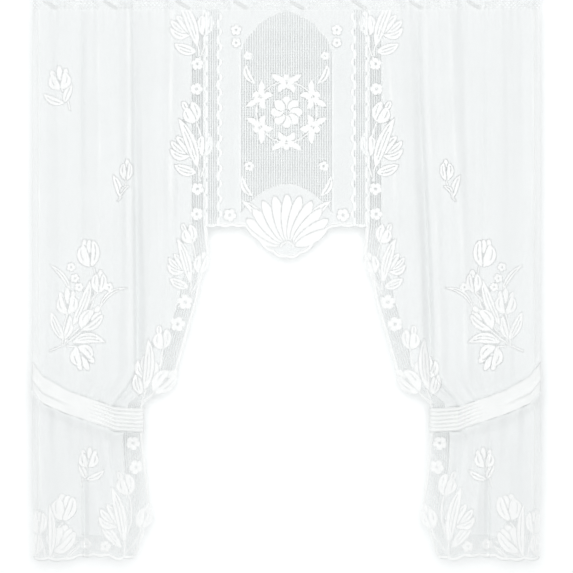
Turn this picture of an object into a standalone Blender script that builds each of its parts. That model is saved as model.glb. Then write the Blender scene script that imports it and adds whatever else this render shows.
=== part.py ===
"""Lace cafe curtain: one knitted lace sheet (two side panels and a short
valance in one piece), a slotted heading strip along its top and two tie-bands.
Units are metres, +Z is up, the front of the cloth looks along -Y.
The origin is the middle of the hanging edge."""

import math

import bmesh
import bpy
import numpy as np

# ---- driving dimensions -------------------------------------------------
HALF_WIDTH = 0.735          # half of the hung width
SHEET = 0.002               # thickness of the lace
SEAM_GAP = 0.0003           # clearance between neighbouring pieces

# Heading: drops are measured down from the hanging edge.
HEADING_DROP = 0.080        # where the heading strip meets the lace
SLOT_TOP = 0.030
SLOT_FOOT = 0.054
SLOT_ENDS = (               # slot for the rod: left end, right end from the left side edge
    (0.099, 0.180),
    (0.290, 0.392),
    (0.473, 0.563),
    (0.647, 0.729),
    (0.812, 0.899),
    (0.977, 1.064),
    (1.151, 1.238),
    (1.322, 1.409),
)
HEADING_STEP = 0.022        # widest column of the heading strip

# Valance: the bridge between the two side panels.
VALANCE_HEM = 0.706
BIB_HALF_WIDTH = 0.132      # rounded drop in the middle of the valance
BIB_CENTRE = 0.004
BIB_DROP = 0.092
BIB_ROUNDNESS = 1.5

# Side panels.
TIE_DROP = 1.268            # middle of the tie at the inner edge
POUCH_DROP = 1.115          # where the swept cloth hangs lowest above the tie
FOOT_DROP = 1.668
PANEL_COLUMNS = 25
VALANCE_COLUMNS = 16
ROW_STEP = 0.062            # longest row in the plain fall
TIE_ROW_STEP = 0.019        # longest row close to the tie

# Outline of the inner edge: drop below the hanging edge, distance from the side edge.
INNER_EDGE = (
    (0.080, 0.515),
    (0.640, 0.508),
    (0.706, 0.505),
    (0.800, 0.513),
    (0.860, 0.486),
    (0.920, 0.480),
    (1.007, 0.456),
    (1.094, 0.432),
    (1.140, 0.424),
    (1.187, 0.368),
    (1.218, 0.321),
    (1.228, 0.316),
    (1.300, 0.314),
    (1.413, 0.325),
    (1.500, 0.336),
    (1.546, 0.339),
    (1.600, 0.320),
    (1.668, 0.296),
)

# Foot hem: fraction of the panel's width from the side edge, extra drop.
FOOT_HEM = (
    (0.00, 0.006),
    (0.30, 0.012),
    (0.48, -0.006),
    (0.70, -0.008),
    (0.86, 0.005),
    (1.00, -0.006),
)

# Folds: distance from the side edge at the heading, the pouch, the tie and the
# foot, half width, then how far the fold stands out (+) or in (-) at those levels.
FOLD_LEVELS = (HEADING_DROP, POUCH_DROP, TIE_DROP, FOOT_DROP)
LEFT_FOLDS = (
    ("side hem roll", (0.016, 0.016, 0.016, 0.018), 0.016, (0.005, 0.006, 0.004, 0.007)),
    ("outer crown", (0.088, 0.085, 0.075, 0.090), 0.044, (0.010, 0.010, 0.005, 0.015)),
    ("outer trough", (0.152, 0.146, 0.118, 0.148), 0.024, (-0.013, -0.011, -0.006, -0.036)),
    ("middle crown", (0.194, 0.194, 0.155, 0.196), 0.027, (0.013, 0.011, 0.005, 0.015)),
    ("inner crown", (0.282, 0.280, 0.205, 0.252), 0.022, (0.013, 0.014, 0.004, 0.009)),
    ("inner trough", (0.308, 0.312, 0.228, 0.280), 0.019, (-0.024, -0.027, -0.006, -0.015)),
    ("border crown", (0.344, 0.344, 0.252, 0.300), 0.024, (0.013, 0.016, 0.004, 0.011)),
    ("border roll", (0.402, 0.394, 0.290, 0.322), 0.020, (0.010, 0.010, 0.003, 0.006)),
)
RIGHT_FOLDS = (
    ("side hem roll", (0.020, 0.026, 0.024, 0.026), 0.016, (0.005, 0.008, 0.004, 0.007)),
    ("outer crown", (0.120, 0.130, 0.080, 0.100), 0.050, (0.011, 0.011, 0.005, 0.013)),
    ("outer trough", (0.165, 0.178, 0.122, 0.154), 0.022, (-0.008, -0.010, -0.006, -0.033)),
    ("middle crown", (0.262, 0.216, 0.160, 0.204), 0.028, (0.016, 0.013, 0.005, 0.017)),
    ("inner crown", (0.330, 0.290, 0.206, 0.254), 0.021, (0.011, 0.016, 0.004, 0.009)),
    ("inner trough", (0.366, 0.318, 0.230, 0.282), 0.019, (-0.022, -0.029, -0.006, -0.015)),
    ("border crown", (0.404, 0.350, 0.254, 0.302), 0.024, (0.013, 0.014, 0.004, 0.009)),
    ("border roll", (0.440, 0.400, 0.292, 0.324), 0.020, (0.006, 0.010, 0.003, 0.006)),
)
# Valance folds: distance from the middle at the heading and at the hem.
VALANCE_FOLDS = (
    ("left band roll", (-0.190, -0.190), 0.030, (0.005, 0.005)),
    ("centre crease", (0.022, 0.010), 0.022, (-0.011, -0.002)),
    ("right band roll", (0.190, 0.190), 0.030, (0.005, 0.006)),
)
GATHERS = 6                 # small gathers that the tie draws together
GATHER_DEPTH = 0.005
GATHER_REACH = 0.085

# Tie: distance from the side edge, drop of its upper edge, drop of its lower edge.
TIE_EDGES = (
    (0.000, 1.102, 1.182),
    (0.032, 1.142, 1.218),
    (0.100, 1.182, 1.248),
    (0.186, 1.213, 1.277),
    (0.236, 1.230, 1.299),
    (0.318, 1.234, 1.303),
)
TIE_THICKNESS = 0.0018
TIE_CLEARANCE = 0.0009      # beyond the two side edges of the gathered cloth
TIE_FRONT = 0.0135          # the band's reach in front of and behind the middle plane
TIE_BACK = 0.0115
TIE_SQUARENESS = 5.0
TIE_STATIONS = 56

COTTON_WHITE = (0.87, 0.885, 0.885)


def smooth_interp(value, places, amounts):
    """Value between table rows, easing in and out of each row."""
    for start, end, low, high in zip(places, places[1:], amounts, amounts[1:]):
        if value <= end:
            share = min(max((value - start) / (end - start), 0.0), 1.0)
            return low + (high - low) * share * share * (3.0 - 2.0 * share)
    return amounts[-1]


def table_value(value, table, column=1):
    """Straight interpolation in a table whose first column is the place."""
    return float(np.interp(value, [row[0] for row in table], [row[column] for row in table]))


def bump(distance, half_width):
    return math.exp(-((distance / half_width) ** 2))


def fold_depth(x, drop):
    """How far the cloth stands out towards the room at one place."""
    depth = 0.0
    for side, folds in ((-1.0, LEFT_FOLDS), (1.0, RIGHT_FOLDS)):
        for _, places, half_width, amounts in folds:
            centre = side * (HALF_WIDTH - smooth_interp(drop, FOLD_LEVELS, places))
            depth += smooth_interp(drop, FOLD_LEVELS, amounts) * bump(x - centre, half_width)
    levels = (HEADING_DROP, VALANCE_HEM)
    for _, places, half_width, amounts in VALANCE_FOLDS:
        if abs(x) < HALF_WIDTH - INNER_EDGE[0][1] + half_width and drop < TIE_EDGES[0][1]:
            centre = smooth_interp(drop, levels, places)
            depth += smooth_interp(drop, levels, amounts) * bump(x - centre, half_width)
    return depth


def gather_depth(share, drop):
    """Small waves that the tie draws together, fading above and below it."""
    reach = bump(drop - TIE_DROP, GATHER_REACH)
    return GATHER_DEPTH * reach * math.sin(2.0 * math.pi * GATHERS * share)


def panel_point(side, share, drop):
    """A place on a side panel: share runs from the side edge to the inner edge."""
    near_foot = smooth_interp(drop, (TIE_DROP, FOOT_DROP), (0.0, 1.0))
    width = table_value(drop, INNER_EDGE)
    x = side * (HALF_WIDTH - share * width)
    lower = drop + near_foot * table_value(share, FOOT_HEM)
    depth = fold_depth(x, drop) + gather_depth(share, drop)
    return (x, -depth, -lower)


def valance_hem(x):
    """Drop of the valance's lower edge, with its rounded bib in the middle."""
    across = abs(x - BIB_CENTRE) / BIB_HALF_WIDTH
    if across >= 1.0:
        return VALANCE_HEM
    return VALANCE_HEM + BIB_DROP * (1.0 - across * across) ** BIB_ROUNDNESS


def valance_point(share, drop):
    """A place on the valance: share runs from the left panel to the right one."""
    reach = HALF_WIDTH - table_value(drop, INNER_EDGE)
    x = reach * (2.0 * share - 1.0)
    fall = (drop - HEADING_DROP) / (VALANCE_HEM - HEADING_DROP)
    lower = HEADING_DROP + fall * (valance_hem(x) - HEADING_DROP)
    return (x, -fold_depth(x, lower), -lower)


def steps_between(start, end, longest):
    """Even steps from start up to, but not with, end."""
    count = max(1, math.ceil((end - start) / longest - 1e-6))
    return [start + (end - start) * i / count for i in range(count)]


def new_material(name, roughness):
    material = bpy.data.materials.new(name)
    material.use_nodes = True
    shader = material.node_tree.nodes["Principled BSDF"]
    shader.inputs["Base Color"].default_value = (*COTTON_WHITE, 1.0)
    shader.inputs["Roughness"].default_value = roughness
    shader.inputs["Metallic"].default_value = 0.0
    return material


def add_object(name, mesh_data, roughness, thickness=None):
    mesh = bpy.data.meshes.new(name)
    mesh_data.to_mesh(mesh)
    mesh_data.free()
    mesh.shade_smooth()
    piece = bpy.data.objects.new(name, mesh)
    bpy.context.scene.collection.objects.link(piece)
    mesh.materials.append(new_material(name + "_finish", roughness))
    if thickness:
        wall = piece.modifiers.new("thickness", "SOLIDIFY")
        wall.thickness = thickness
        wall.offset = 0.0
    return piece


def fill_rows(mesh_data, rows, skip=()):
    """Faces between rows of vertices of equal length, front side towards -Y."""
    for r, (upper, lower) in enumerate(zip(rows, rows[1:])):
        for c in range(len(upper) - 1):
            if (r, c) not in skip:
                mesh_data.faces.new((upper[c], lower[c], lower[c + 1], upper[c + 1]))


def make_lace_body():
    """The one-piece lace: both side panels and the valance between them."""
    top = HEADING_DROP + SEAM_GAP / 2.0
    upper_rows = steps_between(top, VALANCE_HEM, ROW_STEP)
    lower_rows = steps_between(VALANCE_HEM, POUCH_DROP, ROW_STEP)
    lower_rows += steps_between(POUCH_DROP, TIE_EDGES[-1][2], TIE_ROW_STEP)
    lower_rows += steps_between(TIE_EDGES[-1][2], FOOT_DROP, ROW_STEP) + [FOOT_DROP]
    mesh_data = bmesh.new()
    grids = {}
    for side in (-1.0, 1.0):
        grids[side] = []
        for drop in upper_rows + lower_rows:
            shares = [c / PANEL_COLUMNS for c in range(PANEL_COLUMNS + 1)]
            points = [panel_point(side, share, drop) for share in shares]
            row = [mesh_data.verts.new(point) for point in points]
            grids[side].append(row if side < 0.0 else row[::-1])
        fill_rows(mesh_data, grids[side])
    bridge = []
    for r, drop in enumerate(upper_rows + [VALANCE_HEM]):
        shares = [c / VALANCE_COLUMNS for c in range(1, VALANCE_COLUMNS)]
        points = [valance_point(share, drop) for share in shares]
        inner = [mesh_data.verts.new(point) for point in points]
        bridge.append([grids[-1.0][r][-1]] + inner + [grids[1.0][r][0]])
    fill_rows(mesh_data, bridge)
    return add_object("lace_body", mesh_data, 0.85, SHEET)


def make_heading_strip():
    """The strip along the hanging edge, with a row of slots for the rod."""
    edges = [0.0] + [end for slot in SLOT_ENDS for end in slot] + [2.0 * HALF_WIDTH]
    columns = []
    for start, end in zip(edges, edges[1:]):
        columns += steps_between(start, end, HEADING_STEP)
    columns.append(edges[-1])
    drops = (0.0, SLOT_TOP, SLOT_FOOT, HEADING_DROP - SEAM_GAP / 2.0)
    mesh_data = bmesh.new()
    rows = []
    for drop in drops:
        places = [column - HALF_WIDTH for column in columns]
        points = [(x, -fold_depth(x, HEADING_DROP), -drop) for x in places]
        rows.append([mesh_data.verts.new(point) for point in points])
    slot_row = 1
    skip = set()
    for c, start in enumerate(columns):
        if any(left - 1e-6 <= start < right - 1e-6 for left, right in SLOT_ENDS):
            skip.add((slot_row, c))
    fill_rows(mesh_data, rows, skip)
    return add_object("heading_strip", mesh_data, 0.8, SHEET)


def make_tie(name, side):
    """A soft band in one closed loop round the gathered panel."""
    cloth_width = TIE_EDGES[-1][0]
    half_length = cloth_width / 2.0 + TIE_CLEARANCE
    half_depth = (TIE_FRONT + TIE_BACK) / 2.0
    middle_y = (TIE_BACK - TIE_FRONT) / 2.0
    power = 2.0 / TIE_SQUARENESS
    mesh_data = bmesh.new()
    rings = []
    for station in range(TIE_STATIONS):
        angle = 2.0 * math.pi * station / TIE_STATIONS
        across = math.copysign(abs(math.cos(angle)) ** power, math.cos(angle))
        through = math.copysign(abs(math.sin(angle)) ** power, math.sin(angle))
        ring = []
        for outward in (0.0, TIE_THICKNESS):
            place = cloth_width / 2.0 + (half_length + outward) * across
            x = side * (HALF_WIDTH - place)
            y = middle_y + (half_depth + outward) * through
            for column in (1, 2):
                ring.append(mesh_data.verts.new((x, y, -table_value(place, TIE_EDGES, column))))
        rings.append(ring)
    for ring, after in zip(rings, rings[1:] + rings[:1]):
        inner_top, inner_foot, outer_top, outer_foot = range(4)
        for a, b in (
            (inner_top, inner_foot),
            (inner_foot, outer_foot),
            (outer_foot, outer_top),
            (outer_top, inner_top),
        ):
            mesh_data.faces.new((ring[a], ring[b], after[b], after[a]))
    bmesh.ops.recalc_face_normals(mesh_data, faces=mesh_data.faces)
    return add_object(name, mesh_data, 0.7)


def main():
    for old in list(bpy.data.objects):
        bpy.data.objects.remove(old, do_unlink=True)
    make_heading_strip()
    make_lace_body()
    make_tie("tie_left", -1.0)
    make_tie("tie_right", 1.0)


main()
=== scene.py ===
import math

import bpy
import numpy as np
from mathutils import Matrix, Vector


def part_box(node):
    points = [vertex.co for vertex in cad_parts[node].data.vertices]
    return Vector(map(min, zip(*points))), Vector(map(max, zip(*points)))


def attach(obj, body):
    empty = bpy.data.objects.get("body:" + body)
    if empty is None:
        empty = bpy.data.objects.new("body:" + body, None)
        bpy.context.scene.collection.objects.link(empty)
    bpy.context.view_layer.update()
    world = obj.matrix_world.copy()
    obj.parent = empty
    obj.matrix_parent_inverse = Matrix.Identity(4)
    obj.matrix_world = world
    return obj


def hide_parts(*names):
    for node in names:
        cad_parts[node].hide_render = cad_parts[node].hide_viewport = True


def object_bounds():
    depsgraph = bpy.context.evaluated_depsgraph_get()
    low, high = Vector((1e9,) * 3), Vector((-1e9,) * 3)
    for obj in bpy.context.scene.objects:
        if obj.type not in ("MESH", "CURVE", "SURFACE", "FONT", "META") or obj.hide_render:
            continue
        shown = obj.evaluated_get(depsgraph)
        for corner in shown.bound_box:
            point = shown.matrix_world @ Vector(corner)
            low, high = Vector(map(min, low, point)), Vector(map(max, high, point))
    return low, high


# Lace cafe curtain: two swept side panels, a short valance, a slotted heading and two tie bands.
# Lengths are metres. A place on the cloth is its x, or its distance from the side edge, and its
# drop below the top edge.

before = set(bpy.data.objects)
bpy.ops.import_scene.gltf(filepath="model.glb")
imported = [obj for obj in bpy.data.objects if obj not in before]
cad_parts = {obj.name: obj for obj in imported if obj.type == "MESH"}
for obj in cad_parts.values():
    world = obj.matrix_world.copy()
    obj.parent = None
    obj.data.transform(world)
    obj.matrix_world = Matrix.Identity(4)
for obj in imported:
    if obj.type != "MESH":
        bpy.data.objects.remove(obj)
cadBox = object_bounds()
headingLow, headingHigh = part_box("heading_strip")
halfWidth = round((headingHigh.x - headingLow.x) / 2, 3)
seamDrop = round(-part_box("lace_body")[1].z, 4)  # where the lace meets the heading
footDrop = 1.668
print("frame loaded, half width", halfWidth)

# how the cloth hangs
hang = {
    "levels": (0.080, 1.115, 1.268, footDrop),  # heading, pouch, tie, foot
    "left": (  # centre from the side edge at each level, half width, stand-out at each level
        ((0.016, 0.016, 0.020, 0.028), 0.016, (0.005, 0.006, 0.004, 0.007)),
        ((0.088, 0.085, 0.075, 0.090), 0.044, (0.010, 0.010, 0.005, 0.015)),
        ((0.140, 0.140, 0.144, 0.147), 0.008, (-0.007, -0.001, -0.001, -0.014)),
        ((0.192, 0.192, 0.155, 0.200), 0.033, (0.006, 0.007, 0.005, 0.011)),
        ((0.277, 0.278, 0.203, 0.250), 0.020, (0.009, 0.011, 0.004, 0.007)),
        ((0.290, 0.301, 0.222, 0.266), 0.012, (-0.009, -0.018, -0.003, -0.006)),
        ((0.348, 0.348, 0.254, 0.302), 0.030, (0.008, 0.011, 0.004, 0.008)),
        ((0.402, 0.394, 0.290, 0.322), 0.020, (0.010, 0.010, 0.003, 0.006)),
    ),
    "right": (
        ((0.020, 0.026, 0.024, 0.026), 0.016, (0.005, 0.008, 0.004, 0.007)),
        ((0.120, 0.130, 0.080, 0.100), 0.050, (0.011, 0.011, 0.005, 0.013)),
        ((0.158, 0.170, 0.146, 0.148), 0.008, (-0.003, -0.002, -0.001, -0.014)),
        ((0.262, 0.216, 0.160, 0.204), 0.028, (0.016, 0.013, 0.005, 0.017)),
        ((0.330, 0.290, 0.206, 0.254), 0.021, (0.007, 0.011, 0.004, 0.009)),
        ((0.352, 0.314, 0.224, 0.268), 0.012, (-0.008, -0.018, -0.003, -0.006)),
        ((0.404, 0.350, 0.254, 0.302), 0.024, (0.008, 0.011, 0.004, 0.009)),
        ((0.440, 0.400, 0.292, 0.324), 0.020, (0.006, 0.010, 0.003, 0.006)),
    ),
    "valance": (  # x at the heading and at the hem, half width, stand-out there
        ((-0.190, -0.190), 0.030, (0.005, 0.005)),
        ((0.022, 0.010), 0.022, (-0.011, -0.002)),
        ((0.190, 0.190), 0.030, (0.005, 0.006)),
    ),
    "valanceReach": 0.250,
    "crownHighlights": {  # folds whose crowns get a painted highlight, and how much
        -1: ((0, 0.4), (3, 0.4), (4, 0.4), (7, 0.6)),
        1: ((0, 0.4), (3, 0.4), (4, 0.4), (7, 0.5)),
    },
    "tiePuff": 0.0062,  # the cloth swells against the tie
    "tieRoll": 0.0075,  # and rolls out again beyond its edges
    "underTie": 0.0122,  # it stands out no further than this under the tie
    "gathers": 6,
    "gatherDepth": 0.0028,
    "gatherReach": 0.085,
    "puckerPitch": 0.023,  # small puckers below the heading
    "puckerDepth": 0.0011,
    "rippleDepth": 0.0007,  # faint long ripples in the plain fall
    "tieCreases": 0.0012,  # short creases that run into the tie
}
valanceHem = 0.706
bib = {"halfWidth": 0.132, "centre": 0.004, "drop": 0.092, "roundness": 1.5}
innerEdge = (  # drop, distance of the panel's inner edge from its side edge
    (0.080, 0.500), (0.640, 0.500), (0.706, 0.501), (0.800, 0.511), (0.860, 0.486), (0.920, 0.475),
    (1.007, 0.449), (1.094, 0.424), (1.140, 0.411), (1.187, 0.360), (1.218, 0.321), (1.228, 0.316),
    (1.300, 0.314), (1.413, 0.325), (1.500, 0.336), (1.546, 0.339), (1.600, 0.320), (1.668, 0.296),
)
footWave = ((0.00, 0.002), (0.30, 0.005), (0.48, -0.006), (0.70, -0.008), (0.86, 0.005), (1.00, -0.006))
tieEdges = (  # distance from the side edge, drop of the tie's upper edge, drop of its lower edge
    (0.000, 1.102, 1.182), (0.032, 1.142, 1.218), (0.100, 1.182, 1.248),
    (0.186, 1.213, 1.277), (0.236, 1.230, 1.299), (0.318, 1.234, 1.303),
)
tieDrop = hang["levels"][2]


def column(table, place, which=1):
    rows = np.array(table)
    return np.interp(place, rows[:, 0], rows[:, which])


def eased(value, places, amounts):
    # the value between table rows, easing in and out of each row
    value, places, amounts = np.asarray(value, float), np.array(places), np.array(amounts)
    k = np.clip(np.searchsorted(places, value, side="right") - 1, 0, len(places) - 2)
    share = np.clip((value - places[k]) / (places[k + 1] - places[k]), 0.0, 1.0)
    return amounts[k] + (amounts[k + 1] - amounts[k]) * share * share * (3.0 - 2.0 * share)


def swell(distance, reach):
    return np.exp(-((distance / reach) ** 2))


def edgePlace(drop):
    return column(innerEdge, drop)


def troughShape(inward, reach):
    # a crease with a short outer wall and a long, gentle inner wall
    wall = reach * np.where(inward > 0, 2.0, 0.6)
    return np.clip(1.0 - np.sqrt((inward / wall) ** 2 + 0.003), 0.0, 1.0) ** 1.15


def standOut(x, drop):
    # how far the cloth stands out towards the room
    depth = np.zeros(np.broadcast(x, drop).shape)
    levels = hang["levels"]
    for side, folds in ((-1.0, hang["left"]), (1.0, hang["right"])):
        for places, reach, amounts in folds:
            centre = side * (halfWidth - eased(drop, levels, places))
            height = eased(drop, levels, amounts)
            crease = troughShape(side * (centre - x), reach)
            crease = crease * (1.0 - 0.75 * swell(drop - 1.230, 0.080))
            depth += np.where(height < 0, height * crease, height * swell(x - centre, reach))
    bridge = (np.abs(x) < hang["valanceReach"]) & (drop < 1.0)
    for places, reach, amounts in hang["valance"]:
        centre = eased(drop, (seamDrop, valanceHem), places)
        depth += bridge * eased(drop, (seamDrop, valanceHem), amounts) * swell(x - centre, reach)
    inward = halfWidth - np.abs(x)
    share = inward / edgePlace(drop)
    drawn = swell(drop - tieDrop, hang["gatherReach"])
    depth += hang["gatherDepth"] * drawn * np.sin(2.0 * np.pi * hang["gathers"] * share)
    slant = eased(inward, (0.0, 0.236), (1.142, 1.266))
    depth += hang["tiePuff"] * swell(drop - slant, 0.070)
    beyond = np.maximum(column(tieEdges, inward) - drop, drop - column(tieEdges, inward, 2))
    reach = np.where(beyond < 0.006, 0.007, np.where(drop > slant, 0.022, 0.012))
    depth += hang["tieRoll"] * swell(beyond - 0.006, reach) * np.where(drop > slant, 1.0, 0.5)
    # finer creases
    below = np.maximum(drop - seamDrop, 0.0)
    pucker = np.sin(2.0 * np.pi * x / hang["puckerPitch"] + 1.7 * np.sin(11.0 * x))
    depth += hang["puckerDepth"] * swell(below, 0.055) * pucker
    fall = np.clip(below / 0.15, 0.0, 1.0) * (1.0 - drawn)
    ripple = np.sin(x * 151.0 + 2.1 * np.sin(drop * 3.7))
    ripple = ripple + 0.7 * np.sin(x * 263.0 + 1.3 * np.sin(drop * 5.3 + 1.0))
    depth += hang["rippleDepth"] * fall * ripple * (0.6 + 0.4 * np.sin(drop * 7.0 + x * 9.0))
    held = swell(drop - 1.195, 0.045) + 0.35 * swell(drop - 1.345, 0.040)
    depth += hang["tieCreases"] * held * np.sin(2.0 * np.pi * 11.0 * share + 5.0 * share * share)
    return np.minimum(depth, hang["underTie"] + 1.5 * np.maximum(beyond, 0.0))


def paintedCrownHighlights(side, away, drop):
    # painted highlight along the sharpest fold crowns: the small holes shut and the yarn tint is
    # lightened there
    near = np.zeros(np.shape(away))
    for fold, strength in hang["crownHighlights"][side]:
        places = hang["left" if side < 0 else "right"][fold][0]
        place = eased(drop, hang["levels"], places) + 0.0022 * np.sin(drop * 11.0 + fold)
        line = strength * swell(away - place, 0.0075)
        if fold == 7:
            line = line * eased(drop, (0.50, 0.80), (1.0, 0.2))
        near = np.maximum(near, line * (0.75 + 0.25 * np.sin(drop * 23.0 + fold)))
    return near


def paintedCreaseShade(side, away, drop):
    # painted shade in the creases: the small holes open wider there, so the shadowed wall behind shows
    # through darker
    near = np.zeros(np.shape(away))
    for places, reach, amounts in hang["left" if side < 0 else "right"]:
        if max(amounts) < 0:
            place = eased(drop, hang["levels"], places)
            depth = eased(drop, hang["levels"], amounts) * troughShape(away - place, reach)
            near = np.maximum(near, np.clip(-depth / 0.0060, 0.0, 1.0))
    return near


def waveAt(x, drop):
    share = (halfWidth - np.abs(x)) / edgePlace(drop)
    return eased(drop, (tieDrop, footDrop), (0.0, 1.0)) * column(footWave, share)


def onCloth(x, drop, lift=0.0):
    # points on the hanging cloth, raised by lift towards the room
    x, drop = np.asarray(x, float), np.asarray(drop, float)
    step = 0.0008
    slopeAcross = (standOut(x + step, drop) - standOut(x - step, drop)) / (2 * step)
    slopeDown = (standOut(x, drop + step) - standOut(x, drop - step)) / (2 * step)
    reach = lift / np.sqrt(1.0 + slopeAcross**2 + slopeDown**2)
    low = drop + waveAt(x, drop)
    y = -standOut(x, drop)
    return np.stack((x - reach * slopeAcross, y - reach, reach * slopeDown - low), axis=-1)


def newFinish(name, colour, roughness, sheen):
    material = bpy.data.materials.new(name)
    material.use_nodes = True
    nodes = material.node_tree.nodes
    shader = nodes["Principled BSDF"]
    shader.inputs["Base Color"].default_value = (*colour, 1.0)
    shader.inputs["Roughness"].default_value = roughness
    shader.inputs["Specular IOR Level"].default_value = 0.25
    shader.inputs["Sheen Weight"].default_value = sheen
    shader.inputs["Sheen Roughness"].default_value = 0.45
    return material, shader


class Wires:
    # short ways to add nodes to one material
    def __init__(self, material):
        self.nodes = material.node_tree.nodes
        self.links = material.node_tree.links

    def value(self, operation, first, second=None, third=None):
        node = self.nodes.new("ShaderNodeMath")
        node.operation = operation
        for socket, source in zip(node.inputs, (first, second, third)):
            if source is None:
                continue
            if isinstance(source, (int, float)):
                socket.default_value = source
            else:
                self.links.new(source, socket)
        return node.outputs[0]

    def places(self, uvName=None):
        if uvName:
            source = self.nodes.new("ShaderNodeUVMap")
            source.uv_map = uvName
            return source.outputs["UV"]
        return self.nodes.new("ShaderNodeTexCoord").outputs["Object"]

    def split(self, vector):
        node = self.nodes.new("ShaderNodeSeparateXYZ")
        self.links.new(vector, node.inputs[0])
        return node.outputs

    def noise(self, vector, scale, detail=3.0, roughness=0.55):
        node = self.nodes.new("ShaderNodeTexNoise")
        node.inputs["Scale"].default_value = scale
        node.inputs["Detail"].default_value = detail
        node.inputs["Roughness"].default_value = roughness
        self.links.new(vector, node.inputs["Vector"])
        return node.outputs["Fac"]

    def spread(self, source, low, high, newLow, newHigh):
        node = self.nodes.new("ShaderNodeMapRange")
        node.clamp = True
        self.links.new(source, node.inputs["Value"])
        ends = ("From Min", "From Max", "To Min", "To Max")
        for socket, amount in zip(ends, (low, high, newLow, newHigh)):
            node.inputs[socket].default_value = amount
        return node.outputs["Result"]

    def attribute(self, name):
        node = self.nodes.new("ShaderNodeAttribute")
        node.attribute_name = name
        return node.outputs["Fac"]

    def tint(self, factor, low, high):
        node = self.nodes.new("ShaderNodeMix")
        node.data_type = "RGBA"
        self.links.new(factor, node.inputs["Factor"])
        node.inputs[6].default_value = (*low, 1.0)
        node.inputs[7].default_value = (*high, 1.0)
        return node.outputs[2]

    def relief(self, height, strength, distance):
        node = self.nodes.new("ShaderNodeBump")
        node.inputs["Strength"].default_value = strength
        node.inputs["Distance"].default_value = distance
        self.links.new(height, node.inputs["Height"])
        return node.outputs["Normal"]


white = {
    "yarn": (0.945, 0.955, 0.950), "shade": (0.905, 0.922, 0.922), "figure": (0.975, 0.98, 0.975),
    "roughness": 0.72, "sheen": 0.12,
}
net = {"across": 0.0037, "down": 0.0037, "open": 0.66, "soft": 0.32}  # the fine holes of the dense lace


def makeLaceFinish():
    # close lace: wales and courses, with a small hole at every other stitch
    material, shader = newFinish("lace_ground", white["yarn"], white["roughness"], white["sheen"])
    wires = Wires(material)
    across, down, _ = wires.split(wires.places("weave"))
    patchy = wires.noise(wires.places("weave"), 9.0, 4.0)
    fine = wires.noise(wires.places("weave"), 420.0, 2.0)
    waleTurn = wires.value("MULTIPLY", across, 2.0 * math.pi / net["across"])
    courseTurn = wires.value("MULTIPLY", down, 2.0 * math.pi / net["down"])
    meeting = wires.value("ADD", wires.value("COSINE", waleTurn), wires.value("COSINE", courseTurn))
    peak = wires.value("MULTIPLY", wires.value("ABSOLUTE", meeting), 0.5)
    uneven = wires.spread(fine, 0.3, 0.7, -0.04, 0.04)
    opened = wires.value("ADD", peak, uneven)
    opened = wires.value("ADD", opened, wires.spread(patchy, 0.35, 0.65, -0.05, 0.05))
    # negative values open the holes wider, which reads darker: painted shade in the creases and towards
    # the foot
    parted = wires.spread(wires.attribute("closeness_and_fold_light"), -1.0, 0.0, 0.20, 0.0)
    opened = wires.value("ADD", opened, parted)
    hole = wires.spread(opened, net["open"], net["open"] + net["soft"], 0.0, 1.0)
    shut = wires.value("MAXIMUM", wires.attribute("closeness_and_fold_light"), 0.0)
    hole = wires.value("MULTIPLY", hole, wires.value("SUBTRACT", 1.0, shut))
    wires.links.new(wires.value("SUBTRACT", 1.0, hole), shader.inputs["Alpha"])
    wale = wires.value("COSINE", wires.value("MULTIPLY", waleTurn, 2.0))
    course = wires.value("SINE", wires.value("MULTIPLY", courseTurn, 2.0))
    height = wires.value("MULTIPLY_ADD", wale, 0.5, wires.value("MULTIPLY", course, 0.25))
    height = wires.value("ADD", height, wires.value("MULTIPLY", fine, 0.8))
    wires.links.new(wires.relief(height, 0.35, 0.0008), shader.inputs["Normal"])
    tone = wires.value("MULTIPLY_ADD", patchy, 0.35, wires.value("MULTIPLY", fine, 0.30))
    tone = wires.spread(tone, 0.35, 0.65, 0.0, 1.0)
    # close stitches and the painted crown highlights lift the tint towards the figure colour
    tone = wires.value("MAXIMUM", tone, wires.spread(wires.attribute("closeness_and_fold_light"), 0.2, 0.75, 0.0, 1.0))
    wires.links.new(wires.tint(tone, white["shade"], white["figure"]), shader.inputs["Base Color"])
    wires.links.new(wires.spread(fine, 0.3, 0.7, 0.62, 0.85), shader.inputs["Roughness"])
    return material


def makeYarnFinish(name, shade, light, ribs, strength):
    # yarn seen close: ribs across the piece, fuzz and a little unevenness
    material, shader = newFinish(name, light, white["roughness"], white["sheen"])
    wires = Wires(material)
    spot = wires.places()
    across, _, up = wires.split(spot)
    fine = wires.noise(spot, 650.0, 3.0)
    broad = wires.noise(spot, 22.0, 3.0)
    rib = wires.value("SINE", wires.value("MULTIPLY", up, 2.0 * math.pi / ribs[1]))
    wale = wires.value("COSINE", wires.value("MULTIPLY", across, 2.0 * math.pi / ribs[0]))
    height = wires.value("MULTIPLY_ADD", rib, 0.4, wires.value("MULTIPLY", wale, 0.5))
    height = wires.value("ADD", height, fine)
    wires.links.new(wires.relief(height, strength, 0.0006), shader.inputs["Normal"])
    tone = wires.value("MULTIPLY_ADD", broad, 0.5, wires.value("MULTIPLY", fine, 0.5))
    wires.links.new(wires.tint(wires.spread(tone, 0.38, 0.62, 0.0, 1.0), shade, light),
                    shader.inputs["Base Color"])
    wires.links.new(wires.spread(fine, 0.3, 0.7, 0.6, 0.85), shader.inputs["Roughness"])
    return material


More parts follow.
